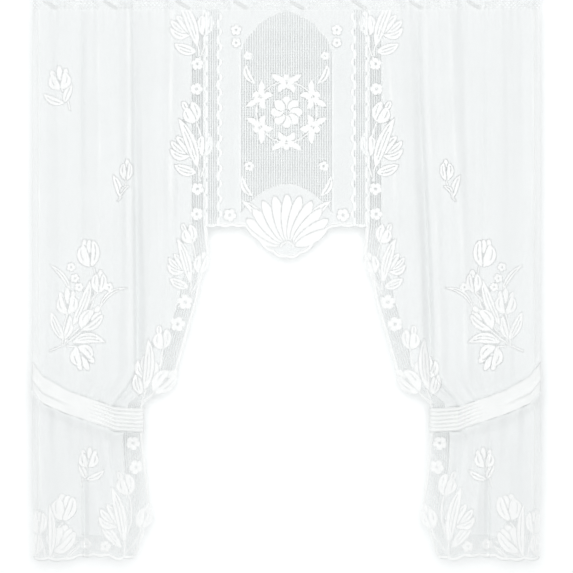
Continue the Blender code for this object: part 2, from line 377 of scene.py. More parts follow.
yarns = {  # shade, light, width of a wale and height of a course, strength of the relief
    "close_knit": ((0.93, 0.94, 0.935), (0.975, 0.98, 0.975), (0.0029, 0.0022), 0.30),
    "filet_thread": ((0.925, 0.945, 0.946), (0.965, 0.980, 0.977), (0.0021, 0.0016), 0.45),
    "tie_knit": ((0.882, 0.893, 0.887), (0.925, 0.933, 0.928), (0.0024, 0.0018), 0.16),
}
laceFinish = makeLaceFinish()
flowerFinish, filetFinish, tieFinish = (makeYarnFinish(name, *yarn) for name, yarn in yarns.items())
print("finishes", 1 + len(yarns))


def weaveMap(mesh, points):
    # a flat front map in metres, for the weave
    layer = mesh.uv_layers.new(name="weave")
    corner = np.zeros(len(mesh.loops), np.int32)
    mesh.loops.foreach_get("vertex_index", corner)
    layer.data.foreach_set("uv", points[corner][:, (0, 2)].astype(np.float32).ravel())


def smoothMesh(name, points, faces, material):
    mesh = bpy.data.meshes.new(name)
    mesh.from_pydata(points, [], faces)
    mesh.materials.append(material)
    mesh.shade_smooth()
    return mesh


def inScene(name, data):
    item = bpy.data.objects.new(name, data)
    bpy.context.scene.collection.objects.link(item)
    return item


def finishPiece(name, points, faces, material, replaces, closeness_and_fold_light=None):
    # one mesh object in place, riding on the curtain; only lace has a closeness and fold light value and
    # a weave map
    mesh = smoothMesh(name, points, faces, material)
    if closeness_and_fold_light is not None:
        values = mesh.attributes.new("closeness_and_fold_light", "FLOAT", "POINT").data
        values.foreach_set("value", closeness_and_fold_light.astype(np.float32))
        weaveMap(mesh, points)
    piece = inScene(name, mesh)
    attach(piece, "root")
    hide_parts(replaces)
    return piece


def latticeFaces(omitted, fine, flip):
    # faces of a grid of coarse cells, each split 3 x 3 where it is partly omitted or holds fine work
    rows, columns = omitted.shape[0] // 3, omitted.shape[1] // 3
    blocks = omitted.reshape(rows, 3, columns, 3)
    some, every = (blocks | fine.reshape(rows, 3, columns, 3)).any(axis=(1, 3)), blocks.all(axis=(1, 3))
    mixed, whole = some & ~every, ~some
    width = 3 * columns + 1
    near = np.zeros_like(mixed)
    near[1:] |= mixed[:-1]
    near[:-1] |= mixed[1:]
    near[:, 1:] |= mixed[:, :-1]
    near[:, :-1] |= mixed[:, 1:]

    def quads(r, c, size):
        a = r * width + c
        b = a + size * width
        return np.stack((a, b, b + size, a + size), axis=-1)

    r, c = np.nonzero(whole & ~near)
    parts = [quads(3 * r, 3 * c, 3)]
    r, c = np.nonzero(~omitted & np.repeat(np.repeat(mixed, 3, 0), 3, 1))
    parts.append(quads(r, c, 1))
    faces = np.concatenate(parts)
    faces = (faces[:, ::-1] if flip else faces).tolist()
    padded = np.pad(mixed, 1)
    for r, c in zip(*np.nonzero(whole & near)):
        a = 3 * r * width + 3 * c
        ring = [a]
        if padded[r + 1, c]:
            ring += [a + width, a + 2 * width]
        ring.append(a + 3 * width)
        if padded[r + 2, c + 1]:
            ring += [a + 3 * width + 1, a + 3 * width + 2]
        ring.append(a + 3 * width + 3)
        if padded[r + 1, c + 2]:
            ring += [a + 2 * width + 3, a + width + 3]
        ring.append(a + 3)
        if padded[r, c + 1]:
            ring += [a + 2, a + 1]
        faces.append(ring[::-1] if flip else ring)
    return faces


def latticeSheet(name, omitted, fine, flip, x, drop, lift, closeness_and_fold_light, replaces):
    # the sheet on a grid of places; lift raises the close-knit figures, closeness_and_fold_light shuts
    # the small holes where stitches are close or a fold crown gets a painted highlight, and opens them
    # wider for painted shade
    faces = latticeFaces(omitted, fine, flip)
    used = np.unique(np.concatenate([np.array(f, np.int64) for f in faces]))
    renumber = np.full(used.max() + 1, -1)
    renumber[used] = np.arange(len(used))
    faces = [renumber[f].tolist() for f in faces]
    points = onCloth(x.ravel()[used], drop.ravel()[used], lift.ravel()[used])
    return finishPiece(name, points, faces, laceFinish, replaces, closeness_and_fold_light.ravel()[used])


def corners(cells):
    # the grid points that touch a marked cell
    padded = np.pad(cells, 1)
    return padded[1:, 1:] | padded[:-1, 1:] | padded[1:, :-1] | padded[:-1, :-1]


def widen(mask, reach):
    # the mask grown by reach cells, in a round shape
    grown = mask.copy()
    rows, columns = mask.shape
    size = int(math.ceil(reach))
    for down in range(-size, size + 1):
        for over in range(-size, size + 1):
            if 0 < down * down + over * over <= reach * reach:
                moved = np.zeros_like(mask)
                source = mask[max(0, -down):rows - max(0, down), max(0, -over):columns - max(0, over)]
                moved[max(0, down):rows - max(0, -down), max(0, over):columns - max(0, -over)] = source
                grown |= moved
    return grown


def narrowGaps(motif, reach):
    # the figures with the gaps between them that are narrower than twice reach cells
    return ~widen(~widen(motif, reach), reach)


def stitchBars(shape):
    # the few stitches that cross the open ring round a flower
    return (np.arange(shape[0])[:, None] % 12 == 0) & (np.arange(shape[1])[None, :] % 3 == 0)


def cellMiddles(shape):
    return np.meshgrid(np.arange(shape[0]) + 0.5, np.arange(shape[1]) + 0.5, indexing="ij")


def gridPoints(shape):
    return np.meshgrid(np.arange(shape[0] + 1), np.arange(shape[1] + 1), indexing="ij")


def newKit():
    return {"points": [], "faces": [], "count": 0}


def addTube(kit, spine, sideways, halfWidths, relief, raised=0.0, sides=8):
    # a flattened tube along a spine in cloth places; both ends close to a point
    spine, sideways, halfWidths = np.array(spine), np.array(sideways), np.array(halfWidths)
    turn = 2.0 * np.pi * np.arange(sides) / sides
    thick = relief * np.clip(halfWidths / 0.003, 0.25, 1.0)
    flat = spine[:, None, :] + (halfWidths[:, None] * np.cos(turn))[..., None] * sideways[:, None, :]
    lift = raised + thick[:, None] * np.sign(np.sin(turn)) * np.abs(np.sin(turn)) ** 0.6
    rings = np.concatenate((flat, lift[..., None]), axis=2).reshape(-1, 3)
    start = kit["count"]
    count = len(spine)
    ends = np.array([[*spine[0], raised], [*spine[-1], raised]])
    kit["points"] += [rings, ends]
    for k in range(count - 1):
        for s in range(sides):
            a, b = start + k * sides + s, start + k * sides + (s + 1) % sides
            kit["faces"].append((a, b, b + sides, a + sides))
    first, last = start + count * sides, start + count * sides + 1
    for s in range(sides):
        a, b = start + s, start + (s + 1) % sides
        kit["faces"].append((first, b, a))
        c = start + (count - 1) * sides
        kit["faces"].append((last, c + s, c + (s + 1) % sides))
    kit["count"] += count * sides + 2


forms = {"petal": (0.55, 0.50), "leaf": (0.75, 0.85), "stem": (0.12, 0.12), "bloom": (0.50, 0.32)}
figure = {"slit": 0.0025, "relief": 0.0011, "rim": 0.0019, "inner": 0.78}


def addBlade(design, root, tip, width, bow=0.0, form="petal", veins=()):
    # one lobe from root to tip; bow bends it to the right of its way up;
    # veins are (start, end, place across)
    design.append((np.array(root, float), np.array(tip, float), width, bow, form, veins))


def paintDesign(design, across, drop):
    # which lobe covers each place, how far inside its outline, and the fine openings between lobes
    owner, depth = np.zeros(across.shape, np.int32), np.zeros(across.shape)
    parted = np.zeros(across.shape, bool)
    for k, (root, tip, width, bow, form, veins) in enumerate(design, 1):
        length = np.linalg.norm(tip - root)
        ahead = (tip - root) / length
        reach = width / 2 + abs(bow) * length + 0.004
        low, high = np.minimum(root, tip) - reach, np.maximum(root, tip) + reach
        inBox = (across > low[0]) & (across < high[0]) & (drop > low[1]) & (drop < high[1])
        spots = np.nonzero(inBox)
        a, d = across[spots] - root[0], drop[spots] - root[1]
        along = (a * ahead[0] + d * ahead[1]) / length
        aside = d * ahead[0] - a * ahead[1]
        t = np.clip(along, 1e-4, 1 - 1e-4)
        rise, fall = forms[form]
        top = rise / (rise + fall)
        half = 0.5 * width * (t**rise * (1 - t) ** fall) / (top**rise * (1 - top) ** fall)
        aside = aside - 4 * bow * length * t * (1 - t)
        slope = 1.0 / np.sqrt(1.0 + (4 * bow * (1 - 2 * t)) ** 2)
        inside = np.where((along < 0) | (along > 1), -1.0, (half - np.abs(aside)) * slope)
        cover = inside > 0
        skirt = (inside > -figure["slit"]) & ~cover & (owner[spots] > 0) & (form != "bloom")
        for start, end, place in veins:
            line = np.abs(aside - place * half) * slope < figure["slit"] / 2
            line &= cover & (t > start) & (t < end)
            skirt |= line
            cover &= ~line
        owner[spots] = np.where(cover, k, np.where(skirt, 0, owner[spots]))
        depth[spots] = np.where(cover, inside, depth[spots])
        parted[spots] = np.where(cover, False, parted[spots] | skirt)
    return owner, depth, parted


def figureLift(owner, depth):
    # raised outline, lower middle
    rim = np.exp(-(((depth - figure["rim"]) / 0.0013) ** 2))
    return (owner > 0) * figure["relief"] * (1.0 - np.exp(-((depth / 0.0010) ** 2))) * (0.5 + 0.5 * rim)


def figureCloseness(owner, depth, motif):
    inner = 1.0 - (1.0 - figure["inner"]) * np.clip((depth - 0.0030) / 0.0015, 0, 1)
    return np.where(owner > 0, inner, corners(motif).astype(float))


def turned(base, lean, across, up):
    # a place given across and up from a base, leaned towards the inner edge by lean degrees
    c, s = math.cos(math.radians(lean)), math.sin(math.radians(lean))
    return base[0] + across * c + up * s, base[1] - (up * c - across * s)


def pointing(angle):
    # a step of one, straight up at angle 0 and turning to the right
    return np.array((math.sin(angle), -math.cos(angle)))


# for each flower its petals: root across and up, tip across and up, width, bow, veins;
# places and widths are shares of the flower's width and height
petals = {
    "cup": (
        (-0.10, 0.50, -0.14, 1.06, 0.32, 0.0, ()),
        (0.06, 0.50, 0.12, 1.02, 0.28, 0.0, ()),
        (-0.03, 0.00, -0.26, 0.84, 0.56, -0.14, ((0.35, 0.85, -0.25),)),
        (0.05, 0.00, 0.32, 0.96, 0.42, 0.12, ((0.25, 0.85, 0.0),)),
    ),
    "budded": (
        (-0.20, 0.66, -0.32, 1.14, 0.34, -0.04, ((0.3, 0.8, 0.0),)),
        (0.04, 0.00, 0.16, 1.00, 0.52, 0.12, ((0.30, 0.82, 0.15),)),
        (-0.03, 0.00, -0.26, 0.78, 0.60, -0.12, ((0.40, 0.82, -0.2),)),
    ),
    "open": (
        (-0.02, 0.02, -0.16, 1.02, 0.34, -0.06, ((0.35, 0.85, 0.0),)),
        (0.04, 0.02, 0.22, 1.00, 0.36, 0.06, ((0.35, 0.85, 0.1),)),
        (-0.03, 0.00, -0.46, 0.80, 0.34, -0.22, ((0.30, 0.75, 0.2),)),
        (0.05, 0.00, 0.48, 0.72, 0.30, 0.20, ()),
    ),
    "slim": (
        (0.06, 0.66, 0.08, 1.04, 0.34, 0.0, ()),
        (-0.03, 0.00, -0.22, 0.84, 0.52, -0.12, ((0.45, 0.85, -0.1),)),
        (0.06, 0.00, 0.28, 0.86, 0.44, 0.10, ((0.30, 0.85, 0.0),)),
    ),
    "wide": (
        (0.02, 0.42, 0.03, 1.06, 0.28, 0.0, ()),
        (-0.18, 0.44, -0.36, 0.90, 0.26, -0.04, ()),
        (0.20, 0.46, 0.34, 0.92, 0.24, 0.04, ()),
        (-0.04, 0.00, -0.34, 0.70, 0.46, -0.18, ((0.35, 0.82, -0.1),)),
        (0.05, 0.00, 0.28, 0.74, 0.46, 0.16, ((0.40, 0.82, 0.1),)),
    ),
}


def addTulip(design, base, height, width, lean, kind):
    for rootA, rootU, tipA, tipU, wide, bow, veins in petals[kind]:
        root = turned(base, lean, rootA * width, rootU * height)
        tip = turned(base, lean, tipA * width, tipU * height)
        addBlade(design, root, tip, wide * width, bow, "petal", veins)


def addLeaf(design, root, tip, width, bow=0.0):
    # a wide leaf has two fine openings along it, a narrow one has a single vein
    veins = ((0.16, 0.72, -0.34), (0.22, 0.84, 0.30)) if width > 0.025 else ((0.15, 0.80, 0.0),)
    addBlade(design, root, tip, width, bow, "leaf", veins if width > 0.009 else ())


def addStem(design, start, end, bow=0.0, width=0.0042):
    addBlade(design, start, end, width, bow, "stem")


def addBlossom(design, centre, radius, turn=0.0):
    for k in range(5):
        way = pointing(turn + 2.0 * math.pi * k / 5)
        root, tip = centre + 0.20 * radius * way, centre + 1.02 * radius * way
        addBlade(design, root, tip, 0.86 * radius, 0.0, "bloom")


def makeThreadTree():
    # lines of points become round knitted threads; each point may thicken its thread
    tree = bpy.data.node_groups.new("knitted_threads", "GeometryNodeTree")
    face = tree.interface
    face.new_socket("Lines", in_out="INPUT", socket_type="NodeSocketGeometry")
    face.new_socket("Thread Radius", in_out="INPUT", socket_type="NodeSocketFloat")
    face.new_socket("Sides", in_out="INPUT", socket_type="NodeSocketInt")
    face.new_socket("Finish", in_out="INPUT", socket_type="NodeSocketMaterial")
    face.new_socket("Threads", in_out="OUTPUT", socket_type="NodeSocketGeometry")
    nodes, links = tree.nodes, tree.links
    entry, leave = nodes.new("NodeGroupInput"), nodes.new("NodeGroupOutput")
    toCurve = nodes.new("GeometryNodeMeshToCurve")
    named = nodes.new("GeometryNodeInputNamedAttribute")
    named.data_type = "FLOAT"
    named.inputs["Name"].default_value = "thickness"
    circle = nodes.new("GeometryNodeCurvePrimitiveCircle")
    sweep = nodes.new("GeometryNodeCurveToMesh")
    sweep.inputs["Fill Caps"].default_value = True
    smooth = nodes.new("GeometryNodeSetShadeSmooth")
    realize = nodes.new("GeometryNodeRealizeInstances")
    paint = nodes.new("GeometryNodeSetMaterial")
    links.new(entry.outputs["Lines"], toCurve.inputs["Mesh"])
    links.new(named.outputs["Attribute"], sweep.inputs["Scale"])
    links.new(entry.outputs["Thread Radius"], circle.inputs["Radius"])
    links.new(entry.outputs["Sides"], circle.inputs["Resolution"])
    links.new(toCurve.outputs["Curve"], sweep.inputs["Curve"])
    links.new(circle.outputs["Curve"], sweep.inputs["Profile Curve"])
    links.new(sweep.outputs["Mesh"], smooth.inputs["Geometry"])
    links.new(smooth.outputs["Geometry"], realize.inputs["Geometry"])
    links.new(realize.outputs["Geometry"], paint.inputs["Geometry"])
    links.new(entry.outputs["Finish"], paint.inputs["Material"])
    links.new(paint.outputs["Geometry"], leave.inputs["Threads"])
    return tree


threadTree = makeThreadTree()


def newLines():
    return {"points": [], "edges": [], "thick": [], "count": 0}


def addLine(lines, points, thick=1.0, keep=None):
    # one thread through points; keep leaves out the stretches that are covered
    count = len(points)
    linked = np.arange(count - 1) if keep is None else np.nonzero(keep[:-1] & keep[1:])[0]
    lines["points"].append(points)
    lines["edges"].append(lines["count"] + np.stack((linked, linked + 1), axis=-1))
    lines["thick"].append(np.broadcast_to(thick, count))
    lines["count"] += count


def threadMesh(lines, radius, sides, material):
    mesh = bpy.data.meshes.new("lines")
    mesh.from_pydata(np.concatenate(lines["points"]), np.concatenate(lines["edges"]), [])
    thick = np.concatenate(lines["thick"]).astype(np.float32)
    mesh.attributes.new("thickness", "FLOAT", "POINT").data.foreach_set("value", thick)
    source = inScene("lines", mesh)
    knit = source.modifiers.new("threads", "NODES")
    knit.node_group = threadTree
    sockets = {s.name: s.identifier for s in threadTree.interface.items_tree if s.in_out == "INPUT"}
    knit[sockets["Thread Radius"]] = radius
    knit[sockets["Sides"]] = sides
    knit[sockets["Finish"]] = material
    evaluated = source.evaluated_get(bpy.context.evaluated_depsgraph_get())
    made = bpy.data.meshes.new_from_object(evaluated)
    bpy.data.objects.remove(source)
    return made


def joinPiece(name, meshes, replaces):
    # several thread meshes of one kind as one piece
    piece = inScene(name, meshes[0])
    others = [inScene(f"{name}_{k}", mesh) for k, mesh in enumerate(meshes[1:])]
    if others:
        with bpy.context.temp_override(active_object=piece, selected_editable_objects=[piece, *others]):
            bpy.ops.object.join()
    piece.data.name = name
    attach(piece, "root")
    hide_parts(replaces)
    return piece


# side panels
panel = {
    "cell": 0.005,
    "fieldColumns": 87,
    "borderColumns": 15,
    "spareColumns": 8,  # room for flowers that stand out over the inner edge
    "borderWidth": 0.075,
    "filet": (  # drop, outer and inner side of the open filet, measured from the inner edge
        (0.080, 0.0065, 0.0405), (0.720, 0.0065, 0.0405), (0.860, 0.0060, 0.0530),
        (1.060, 0.0060, 0.0530), (1.180, 0.0060, 0.0500), (1.320, 0.0045, 0.0600),
        (1.668, 0.0050, 0.0600),
    ),
    "filetPitch": 0.0068,
    "weftPitch": 0.0048,
    "weftStep": 0.0034,  # between the points of a cross thread
    "pillarRadius": 0.0014,
    "weftRadius": 0.0006,
    "pillarGrowth": ((1.10, 1.25, 1.34), (1.05, 0.95, 0.80)),  # drops, thickness of the pillars there
    "footPillars": 0.6,  # thickness of the pillars along the foot
    "hemWidth": 0.016,
    "footFilet": (1.606, 1.652),  # drops of the open filet along the foot
    "cornerFilet": (1.556, 0.098),  # where it starts and ends in the outer corner
    "footReach": 0.006,
    "moat": 1.5,  # open cells round every flower and leaf
    "footMoat": (1.52, 2.3),  # below this drop the open ring is wider
    "gap": 3.2,  # gaps narrower than twice this many cells are left open
    "flat": (0.56, 1.59),
}
panelRows = round((footDrop - seamDrop) / panel["cell"])


scallop = {"pitch": 0.044, "inner": 0.0028, "outer": 0.0004, "bulge": 0.0062, "step": 0.00275}


def drawnIn(drop):
    # how far the tie squeezes the border
    return 1.0 - 0.24 * swell(drop - 1.245, 0.075)


def filetSides(drop):
    return column(panel["filet"], drop, 1), column(panel["filet"], drop, 2)


def panelPlace(rows, columns):
    # distance from the side edge and drop of a place in the panel's grid of fine cells
    drop = seamDrop + (footDrop - seamDrop) * np.asarray(rows) / (3.0 * panelRows)
    edge, border = edgePlace(drop), panel["borderWidth"] * drawnIn(drop)
    share = np.asarray(columns) / 3.0
    inField = share / panel["fieldColumns"] * (edge - border)
    inBorder = edge - border + (share - panel["fieldColumns"]) / panel["borderColumns"] * border
    return np.where(share <= panel["fieldColumns"], inField, inBorder), drop


def panelCell(distance, drop):
    edge, border = edgePlace(drop), panel["borderWidth"] * drawnIn(drop)
    field = distance / (edge - border) * panel["fieldColumns"]
    inner = panel["fieldColumns"] + (distance - edge + border) / border * panel["borderColumns"]
    columns = 3.0 * np.where(distance <= edge - border, field, inner)
    rows = (drop - seamDrop) / (footDrop - seamDrop) * 3.0 * panelRows
    return np.floor(rows).astype(int), np.floor(columns).astype(int)


def addBorderUnit(design, base, lean, size, top, right, low=(-0.073, 0.036), spread=1.0):
    # one repeat of the tulip border, growing up from base; top says whether its top tulip shows,
    # right is the root and growth of the right tulip, low the tip of the low leaf
    def at(across, up):
        return turned(base, lean, across * size, up * size)

    stem = 0.0045 * size
    addStem(design, at(0.001, -0.010), at(-0.003, 0.070), 0.0, stem)
    addStem(design, at(0.003, 0.000), at(right[0], right[1] + 0.006), 0.08, stem)
    addStem(design, at(-0.001, 0.004), at(-0.030 * spread, 0.070), 0.12 * spread, stem)
    if top:
        addStem(design, at(-0.001, 0.050), at(-0.012, 0.165), 0.10, stem)
    addLeaf(design, at(-0.010, 0.014), at(*low), 0.030 * size, -0.06)
    addTulip(design, at(-0.028 * spread, 0.064), 0.066 * size, 0.058 * size, lean - 46 * spread, "open")
    grown = right[2] * size
    addTulip(design, at(*right[:2]), 0.068 * grown, 0.046 * grown, lean + 6 * right[2] ** 4, "slim")
    if top:
        addTulip(design, at(-0.013, 0.160), 0.060 * size, 0.050 * size, lean - 17, "budded")
    addLeaf(design, at(-0.006, 0.030), at(-0.061, 0.172), 0.031 * size, 0.05)


def addSprig(design, base, lean, size, kind, flip=1.0):
    def at(across, up):
        return turned(base, lean, flip * across * size, up * size)

    addStem(design, at(0.000, 0.000), at(-0.0265, 0.066), 0.06 * flip, 0.0045 * size)
    addLeaf(design, at(-0.016, 0.024), at(0.006, 0.077), 0.021 * size, -0.04 * flip)
    addLeaf(design, at(-0.017, 0.022), at(-0.078, 0.049), 0.022 * size, -0.10 * flip)
    addTulip(design, at(-0.0265, 0.062), 0.064 * size, 0.062 * size, lean - 6 * flip, kind)


def addBouquet(design, base):
    def at(across, up):
        return turned(base, 0.0, across, up)

    for startA, startU, endA, endU, bow in (  # the stems
        (0.000, 0.000, 0.040, 0.018, 0.00),
        (0.036, 0.016, 0.100, 0.066, 0.03),
        (0.038, 0.020, 0.054, 0.112, -0.05),
        (0.044, 0.030, 0.128, 0.250, 0.16),
        (0.090, 0.080, 0.143, 0.172, -0.08),
        (0.044, 0.024, 0.078, 0.100, 0.02),
        (0.050, 0.016, 0.080, 0.012, 0.00),
    ):
        addStem(design, at(startA, startU), at(endA, endU), bow)
    for rootA, rootU, tipA, tipU, width, bow in (  # the leaves
        (0.060, 0.176, 0.002, 0.250, 0.014, 0.10),
        (0.146, 0.124, 0.226, 0.184, 0.013, -0.17),
        (0.042, 0.034, 0.060, 0.104, 0.022, 0.10),
        (0.041, 0.034, 0.004, 0.114, 0.026, -0.04),
        (0.068, 0.026, 0.162, 0.026, 0.030, -0.14),
        (0.068, 0.076, 0.119, 0.208, 0.027, 0.05),
    ):
        addLeaf(design, at(rootA, rootU), at(tipA, tipU), width, bow)
    for across, up, height, width, lean, kind in (  # the tulips
        (0.119, 0.246, 0.076, 0.058, -8, "cup"),
        (0.143, 0.170, 0.064, 0.042, 2, "slim"),
        (0.054, 0.109, 0.071, 0.055, -3, "wide"),
        (0.094, 0.064, 0.074, 0.052, 42, "cup"),
        (0.080, 0.012, 0.070, 0.064, 152, "wide"),
    ):
        addTulip(design, at(across, up), height, width, lean, kind)
    addBlade(design, at(0.132, 0.114), at(0.146, 0.130), 0.015)
    for across, up in ((0.063, 0.244), (0.074, 0.212), (0.086, 0.186), (0.172, 0.186)):
        addBlossom(design, np.array(at(across, up)), 0.0125, 0.4)


def addFootSprays(design):
    # outer corner
    addStem(design, (0.046, 1.662), (0.087, 1.560), -0.08)
    addStem(design, (0.036, 1.664), (0.020, 1.592), 0.04)
    addStem(design, (0.040, 1.664), (0.062, 1.648), 0.00)
    addLeaf(design, (0.050, 1.664), (0.134, 1.620), 0.013, -0.05)
    addLeaf(design, (0.094, 1.664), (0.138, 1.634), 0.012, 0.00)
    addTulip(design, (0.007, 1.656), 0.058, 0.044, -4, "cup")
    addTulip(design, (0.018, 1.594), 0.062, 0.044, -2, "cup")
    addTulip(design, (0.087, 1.554), 0.070, 0.070, 6, "cup")
    addTulip(design, (0.060, 1.644), 0.080, 0.072, 34, "cup")
    addLeaf(design, (0.050, 1.660), (0.048, 1.512), 0.021, 0.05)
    # inner corner
    addBorderUnit(design, (0.265, 1.650), 8.0, 1.03, True, (0.040, 0.070, 1.0), (-0.075, 0.068))
    for place in ((0.1535, 1.634), (0.210, 1.641)):
        addBlossom(design, np.array(place), 0.0155, 0.2)


borderUnits = (  # base, lean, size, top, right, and where they differ low and spread
    ((0.4825, 0.2147), 0, 1.00, False, (0.014, 0.062, 1.0)),
    ((0.4829, 0.5653), 0, 1.00, True, (0.012, 0.063, 1.0)),
    ((0.4582, 0.8960), 5, 0.88, True, (0.022, 0.063, 1.0)),
    ((0.3175, 1.2100), 25, 0.98, True, (0.022, 0.036, 1.3), (-0.052, 0.064), 0.55),
)
borderBlossoms = (  # distance from the side edge, drop, radius
    (0.4770, 0.2356, 0.0170), (0.4740, 0.3081, 0.0170), (0.4770, 0.5980, 0.0175),
    (0.4750, 0.6706, 0.0175), (0.4414, 0.9264, 0.0205), (0.4200, 0.9902, 0.0205),
    (0.2905, 1.3347, 0.0190), (0.2990, 1.4043, 0.0190),
)


def panelFlowers(side):
    design = []
    for unit in borderUnits:
        addBorderUnit(design, *unit)
    for k, (away, drop, radius) in enumerate(borderBlossoms):
        addBlossom(design, np.array((away, drop)), radius, 0.3 * k)
    if side < 0:
        addSprig(design, (0.108, 0.372), 0, 1.0, "wide")
    addStem(design, (0.246, 0.634), (0.271, 0.572), 0.08)
    addLeaf(design, (0.252, 0.622), (0.231, 0.558), 0.020, 0.08)
    addLeaf(design, (0.256, 0.616), (0.281, 0.590), 0.012, -0.20)
    addTulip(design, (0.271, 0.573), 0.058, 0.036, 0, "slim")
    addBouquet(design, (0.048, 1.069))
    addSprig(design, (0.1406, 1.4624), -3, 0.88, "wide", -1.0)
    addFootSprays(design)
    return design


def inFilet(distance, drop):
    # the open stretches of the border and along the foot
    inward = (edgePlace(drop) - distance) / drawnIn(drop)
    outer, inner = filetSides(drop)
    border = (inward > outer) & (inward < inner) & (drop > 0.100) & (drop < 1.655)
    low, high = panel["footFilet"]
    above, reach = panel["cornerFilet"]
    started = (drop > low) | ((drop > above) & (distance < reach))
    foot = started & (drop < high) & (distance > panel["footReach"]) & (inward > outer)
    return border | foot


def pastScallop(distance, drop):
    # the small bites between the scallops of the inner edge
    inward = (edgePlace(drop) - distance) / drawnIn(drop)
    outer, _ = filetSides(drop)
    bite = 0.75 * (outer - 0.0035) * (1.0 - np.abs(np.sin(np.pi * drop / scallop["pitch"])) ** 0.7)
    return inward < bite


def makePanel(side, name):
    columns = panel["fieldColumns"] + panel["borderColumns"]
    shape = (3 * panelRows, 3 * (columns + panel["spareColumns"]))
    design = panelFlowers(side)
    rows, places = cellMiddles(shape)
    distance, drop = panelPlace(rows, places)
    owner, _, parted = paintDesign(design, distance, drop)
    motif = owner > 0
    beyond = places > 3 * columns
    footStart, footRing = panel["footMoat"]
    ringed = np.where(drop > footStart, widen(motif, footRing), widen(motif, panel["moat"]))
    opened = ((ringed & ~stitchBars(shape)) | narrowGaps(motif, panel["gap"]) | parted | beyond
              | inFilet(distance, drop) | pastScallop(distance, drop)) & ~motif
    opened[:2] = beyond[:2]
    rows, places = gridPoints(shape)
    away, low = panelPlace(rows, places)
    owner, depth, _ = paintDesign(design, away, low)
    hem = 0.30 * np.clip((panel["hemWidth"] + 0.001 - away) / 0.002, 0, 1)
    edge = np.clip((filetSides(low)[0] + 0.003 - (edgePlace(low) - away)) / 0.003, 0, 0.7)
    top = 0.35 * np.clip((seamDrop + 0.006 - low) / 0.004, 0, 1)
    figures = figureCloseness(owner, depth, motif)
    # the crown lines add a painted highlight on top of the real closeness of hem, edge and figures
    near = np.maximum.reduce((hem, edge, top, figures, paintedCrownHighlights(side, away, low)))
    # painted shade: the holes open wider in the creases, and more and more below the tie, so the cloth
    # gets darker towards the foot
    darkeningOpening = np.clip(paintedCreaseShade(side, away, low) + eased(low, (1.24, 1.40), (0.0, 0.35)), 0.0, 1.0)
    near = np.where(near < 0.10, -darkeningOpening, near)
    sheet = latticeSheet(name, opened, motif, side > 0, side * (halfWidth - away), low,
                         figureLift(owner, depth), near, "lace_body")
    filetPiece = makePanelFilet(side, name, motif)
    edging = makePanelEdging(side, name, motif)
    print(name, len(sheet.data.polygons), "cells")


def freeOf(mask, rows, columns):
    inside = (rows >= 0) & (rows < mask.shape[0]) & (columns >= 0) & (columns < mask.shape[1])
    r, c = np.clip(rows, 0, mask.shape[0] - 1), np.clip(columns, 0, mask.shape[1] - 1)
    return ~(mask[r, c] & inside)


def makePanelFilet(side, name, motif):
    # the square open net of the border: upright pillars and fine cross threads
    pillars, wefts = newLines(), newLines()
    drops = np.arange(0.094, 1.662, panel["weftPitch"])
    outer, inner = filetSides(drops)
    count = int(0.060 / panel["filetPitch"]) + 1

    def lay(distance, low):
        return onCloth(side * (halfWidth - distance), low)

    for k in range(count + 1):
        inward = outer + panel["filetPitch"] * k
        distance = edgePlace(drops) - inward * drawnIn(drops)
        shown = (inward < inner + 0.001) & freeOf(motif, *panelCell(distance, drops))
        addLine(pillars, lay(distance, drops), eased(drops, *panel["pillarGrowth"]), shown)
    for low, start, end in zip(drops, outer, inner):
        inward = np.arange(start, end + panel["weftStep"], panel["weftStep"])
        distance = edgePlace(low) - inward * drawnIn(low)
        drop = np.full(distance.shape, low)
        addLine(wefts, lay(distance, drop), 1.0, freeOf(motif, *panelCell(distance, drop)))
    low, high = panel["footFilet"]
    above, reach = panel["cornerFilet"]
    across = np.arange(panel["footReach"], edgePlace(1.63) - 0.060, panel["filetPitch"])
    for distance in across:
        lows = np.arange(above if distance < reach else low, high + 0.001, panel["weftPitch"])
        away = np.full(lows.shape, distance)
        addLine(pillars, lay(away, lows), panel["footPillars"], freeOf(motif, *panelCell(away, lows)))
    for drop in np.arange(above, high + 0.001, panel["weftPitch"]):
        fine = np.arange(across[0], reach if drop < low else across[-1] + 0.004, panel["weftStep"])
        there = np.full(fine.shape, drop)
        addLine(wefts, lay(fine, there), 1.0, freeOf(motif, *panelCell(fine, there)))
    meshes = [threadMesh(pillars, panel["pillarRadius"], 6, filetFinish),
              threadMesh(wefts, panel["weftRadius"], 4, filetFinish)]
    return joinPiece(name + "Filet", meshes, "lace_body")


def edgeBand(kit, centre, sideways, along, inner, outer, pitch, bulge):
    # a close-knit band whose outer side swells into scallops
    wave = np.abs(np.sin(np.pi * along / pitch))
    out = outer + bulge * wave**0.8
    inner = inner * (0.55 + 0.9 * (1.0 - wave))
    middle = centre + sideways * ((out - inner) / 2)[:, None]
    addTube(kit, middle, sideways, (out + inner) / 2, 0.0007, 0.0002)


